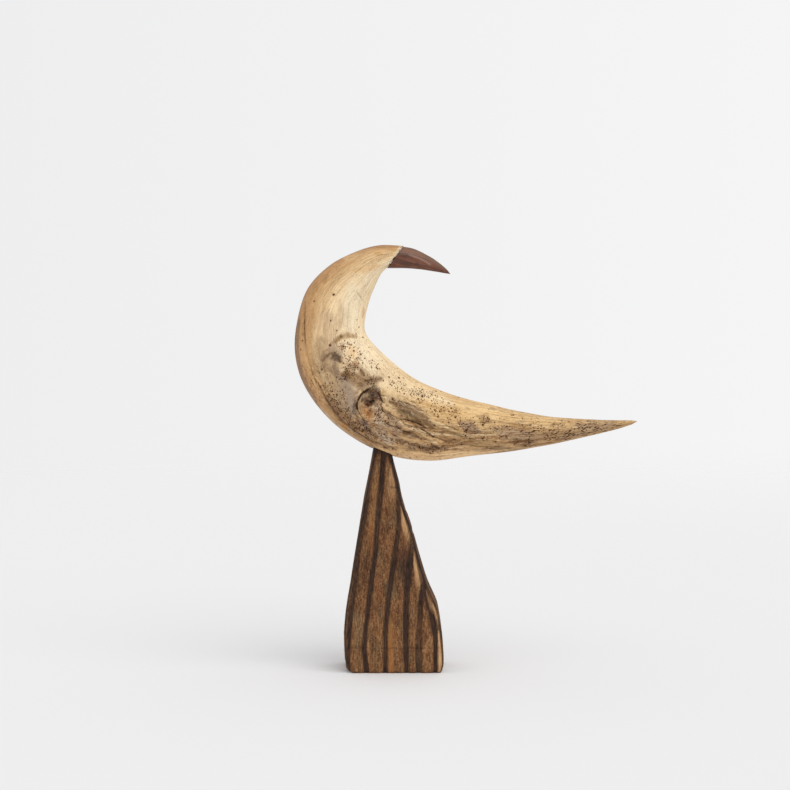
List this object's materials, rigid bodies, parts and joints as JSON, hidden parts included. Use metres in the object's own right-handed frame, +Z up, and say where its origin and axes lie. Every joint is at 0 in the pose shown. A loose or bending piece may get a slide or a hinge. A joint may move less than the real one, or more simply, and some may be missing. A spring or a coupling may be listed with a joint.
{
  "type": "driftwood bird sculpture",
  "caption": "Crescent driftwood bird with a pointed dark hardwood beak, resting on a tapered scorched wood plinth from which it lifts off a steel pin.",
  "frame": {"origin": "centre of the plinth's flat underside", "axes": "+Z up, +X towards the bird's beak and tail, -Y towards the side that is looked at"},
  "size_m": [0.2405, 0.0496, 0.2981],
  "materials": {
    "scorched_softwood": "scorched and wire-brushed softwood, dull",
    "bright_steel": "bright drawn steel rod",
    "driftwood": "bare weathered driftwood, smooth satin",
    "dark_hardwood": "carved and oiled dark hardwood, satin",
    "beech_dowel": "plain turned beech dowel"
  },
  "bodies": {
    "stand": {"plinth": "scorched_softwood", "mounting_pin": "bright_steel"},
    "bird": {"bird_body": "driftwood", "beak": "dark_hardwood", "beak_dowel": "beech_dowel"}
  },
  "joints": [
    {"name": "bird_lift_off", "type": "slide", "parent": "stand", "child": "bird", "axis": [0, 0, 1], "range_m": [0, 0.06]}
  ]
}
